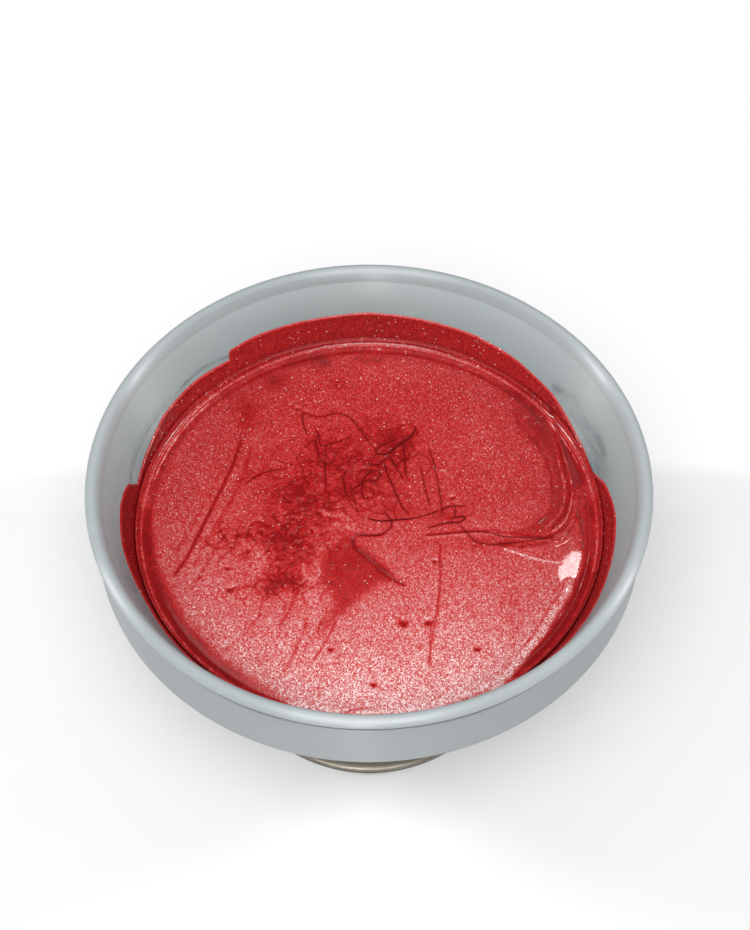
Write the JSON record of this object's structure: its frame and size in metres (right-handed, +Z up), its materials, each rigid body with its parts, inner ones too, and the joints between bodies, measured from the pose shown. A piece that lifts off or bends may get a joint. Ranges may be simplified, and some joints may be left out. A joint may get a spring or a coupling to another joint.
{
  "type": "paint bowl",
  "caption": "Open footed bowl of grey moulded plastic with a rolled lip, a straight skirt and a steel foot, filled with red metallic paint.",
  "frame": {"origin": "bottom centre, on the bowl's axis in the plane the foot ring stands on", "axes": "+Z up along the axis the bowl is turned about; -Y faces the viewer; +X to the viewer's right"},
  "size_m": [0.15, 0.15, 0.09],
  "materials": {
    "bowl_plastic": "satin moulded grey, slightly bluish",
    "seal_rubber": "matt dark grey elastomer",
    "foot_steel": "spun and brushed round the axis, warm tone",
    "fastener_steel": "plain bright steel",
    "metallic_paint": "wet liquid paint with fine bright metallic flake",
    "wet_paint": "thin wet film of the same paint, darker and with little flake"
  },
  "bodies": {
    "root": {"inner_bowl": "bowl_plastic", "outer_shell": "bowl_plastic", "lip_seal": "seal_rubber", "steel_foot": "foot_steel", "foot_ring": "seal_rubber", "foot_screw_1": "fastener_steel", "foot_screw_2": "fastener_steel", "foot_screw_3": "fastener_steel", "foot_washer_1": "fastener_steel", "foot_washer_2": "fastener_steel", "foot_washer_3": "fastener_steel", "paint_pool": "metallic_paint", "paint_film": "wet_paint"}
  },
  "joints": []
}
